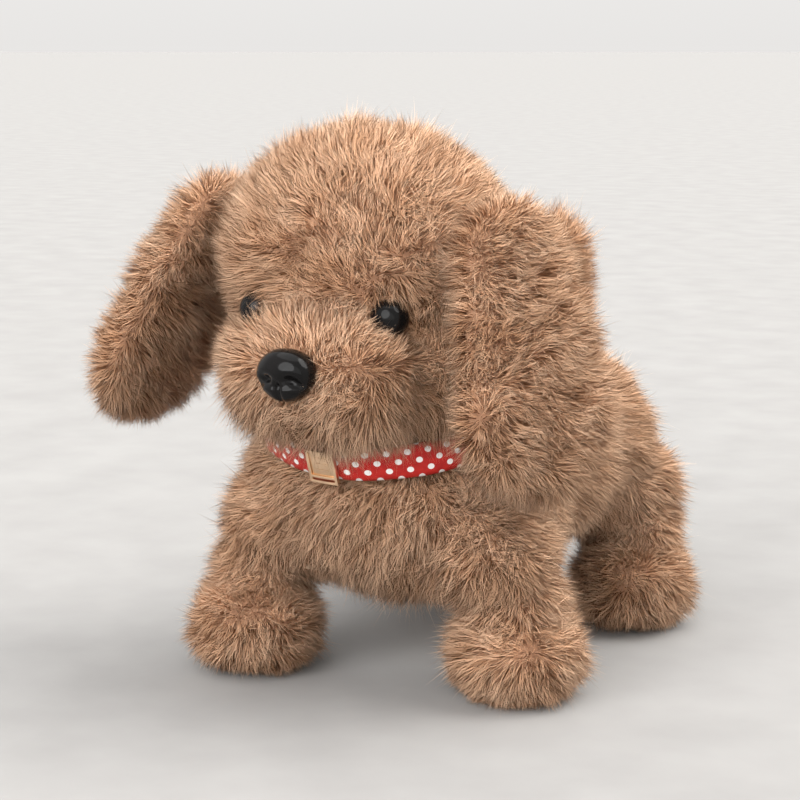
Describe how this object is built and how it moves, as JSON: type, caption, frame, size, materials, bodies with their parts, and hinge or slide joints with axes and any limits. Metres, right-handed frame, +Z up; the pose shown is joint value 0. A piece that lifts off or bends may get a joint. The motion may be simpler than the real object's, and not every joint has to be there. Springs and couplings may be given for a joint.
{
  "type": "walking plush puppy",
  "caption": "Battery-powered plush puppy with a ribbon collar that walks on crank-driven legs, nods its head and wags its tail.",
  "frame": {"origin": "on the floor under the middle of the outline", "axes": "+Z up, the puppy looks along -Y, its left side is +X"},
  "size_m": [0.1716, 0.1944, 0.174],
  "materials": {
    "plush": "long pile fleece",
    "shell_plastic": "moulded",
    "frame_plastic": "moulded",
    "battery_cell": "plain wrapper",
    "steel": "plain",
    "black_gloss": "gloss",
    "circuit_board": "solder mask",
    "speaker_cone": "paper cone",
    "gear_plastic": "smooth moulded",
    "ribbon": "satin",
    "gold_metal": "polished"
  },
  "bodies": {
    "chassis": {"body_plush": "plush", "chassis_left_shell": "shell_plastic", "chassis_right_shell": "shell_plastic", "neck_post": "frame_plastic", "battery_tray": "frame_plastic", "battery_cell_left": "battery_cell", "battery_cell_right": "battery_cell", "cell_link_plate": "steel", "contact_tag_left": "steel", "contact_tag_right": "steel", "contact_spring_right": "steel", "contact_spring_left": "steel", "circuit_board": "circuit_board", "speaker": "speaker_cone", "motor": "steel", "first_gear_axle": "steel", "second_gear_axle": "steel", "gearbox_plate": "frame_plastic", "front_left_hip_screw": "steel", "front_right_hip_screw": "steel", "rear_left_hip_screw": "steel", "rear_right_hip_screw": "steel", "tail_bracket": "frame_plastic", "collar_ribbon": "ribbon", "collar_slider": "gold_metal"},
    "front_left_leg": {"front_left_leg_frame": "frame_plastic", "front_left_leg_plush": "plush"},
    "front_right_leg": {"front_right_leg_frame": "frame_plastic", "front_right_leg_plush": "plush"},
    "rear_left_leg": {"rear_left_leg_frame": "frame_plastic", "rear_left_leg_plush": "plush"},
    "rear_right_leg": {"rear_right_leg_frame": "frame_plastic", "rear_right_leg_plush": "plush"},
    "crank": {"crank_shaft": "steel", "crank_gear": "gear_plastic", "crank_disc_left": "gear_plastic", "crank_disc_right": "gear_plastic"},
    "second_gear": {"second_reduction_gear": "gear_plastic"},
    "first_gear": {"first_reduction_gear": "gear_plastic"},
    "motor_rotor": {"motor_shaft": "steel", "motor_pinion": "gear_plastic"},
    "head": {"head_core": "frame_plastic", "head_pivot_pin": "steel", "head_plush": "plush", "eye_left": "black_gloss", "eye_right": "black_gloss", "eye_washer_left": "shell_plastic", "eye_washer_right": "shell_plastic", "nose": "black_gloss", "nose_washer": "shell_plastic"},
    "left_ear": {"ear_left": "plush"},
    "right_ear": {"ear_right": "plush"},
    "tail": {"tail_arm": "frame_plastic", "tail_plush": "plush"},
    "switch": {"power_switch": "black_gloss"},
    "door": {"battery_door": "shell_plastic", "battery_door_screw": "steel"}
  },
  "joints": [
    {"name": "front_left_leg_swing", "type": "hinge", "parent": "chassis", "child": "front_left_leg", "pos_m": [0.04592, -0.03594, 0.05], "axis": [1, 0, 0], "range_deg": [-21.5, 2.5]},
    {"name": "front_right_leg_swing", "type": "hinge", "parent": "chassis", "child": "front_right_leg", "pos_m": [-0.03008, -0.03594, 0.05], "axis": [1, 0, 0], "range_deg": [-2.5, 21.5]},
    {"name": "rear_left_leg_swing", "type": "hinge", "parent": "chassis", "child": "rear_left_leg", "pos_m": [0.04592, 0.06606, 0.05], "axis": [1, 0, 0], "range_deg": [-2.5, 21.5]},
    {"name": "rear_right_leg_swing", "type": "hinge", "parent": "chassis", "child": "rear_right_leg", "pos_m": [-0.03008, 0.06606, 0.05], "axis": [1, 0, 0], "range_deg": [-21.5, 2.5]},
    {"name": "crank_spin", "type": "hinge", "parent": "chassis", "child": "crank", "pos_m": [0.00792, 0.01506, 0.063], "axis": [1, 0, 0], "continuous": true},
    {"name": "second_gear_spin", "type": "hinge", "parent": "chassis", "child": "second_gear", "pos_m": [0.00792, 0.02599, 0.06655], "axis": [1, 0, 0], "continuous": true},
    {"name": "first_gear_spin", "type": "hinge", "parent": "chassis", "child": "first_gear", "pos_m": [0.00792, 0.0355, 0.06964], "axis": [1, 0, 0], "continuous": true},
    {"name": "motor_spin", "type": "hinge", "parent": "chassis", "child": "motor_rotor", "pos_m": [0.00792, 0.0455, 0.06964], "axis": [1, 0, 0], "continuous": true},
    {"name": "head_nod", "type": "hinge", "parent": "chassis", "child": "head", "pos_m": [0.00792, -0.03644, 0.106], "axis": [1, 0, 0], "range_deg": [-5, 6]},
    {"name": "ear_left_lift", "type": "hinge", "parent": "head", "child": "left_ear", "pos_m": [0.05392, -0.04444, 0.147], "axis": [0, -1, 0], "range_deg": [0, 35]},
    {"name": "ear_right_lift", "type": "hinge", "parent": "head", "child": "right_ear", "pos_m": [-0.03808, -0.04444, 0.147], "axis": [0, 1, 0], "range_deg": [0, 25]},
    {"name": "tail_wag", "type": "hinge", "parent": "chassis", "child": "tail", "pos_m": [0.00792, 0.08356, 0.084], "axis": [0, 1, 0], "range_deg": [-16, 16]},
    {"name": "power_switch_slide", "type": "slide", "parent": "chassis", "child": "switch", "axis": [0, 1, 0], "range_m": [0, 0.0026]},
    {"name": "battery_door_hinge", "type": "hinge", "parent": "chassis", "child": "door", "pos_m": [0.00792, -0.01424, 0.0349], "axis": [-1, 0, 0], "range_deg": [0, 80]}
  ],
  "couplings": [
    {"joint": "front_right_leg_swing", "follows": "front_left_leg_swing", "ratio": -1},
    {"joint": "rear_left_leg_swing", "follows": "front_left_leg_swing", "ratio": -1},
    {"joint": "rear_right_leg_swing", "follows": "front_left_leg_swing", "ratio": 1},
    {"joint": "second_gear_spin", "follows": "crank_spin", "ratio": -3.6},
    {"joint": "first_gear_spin", "follows": "crank_spin", "ratio": 10.8},
    {"joint": "motor_spin", "follows": "crank_spin", "ratio": -32.4}
  ]
}
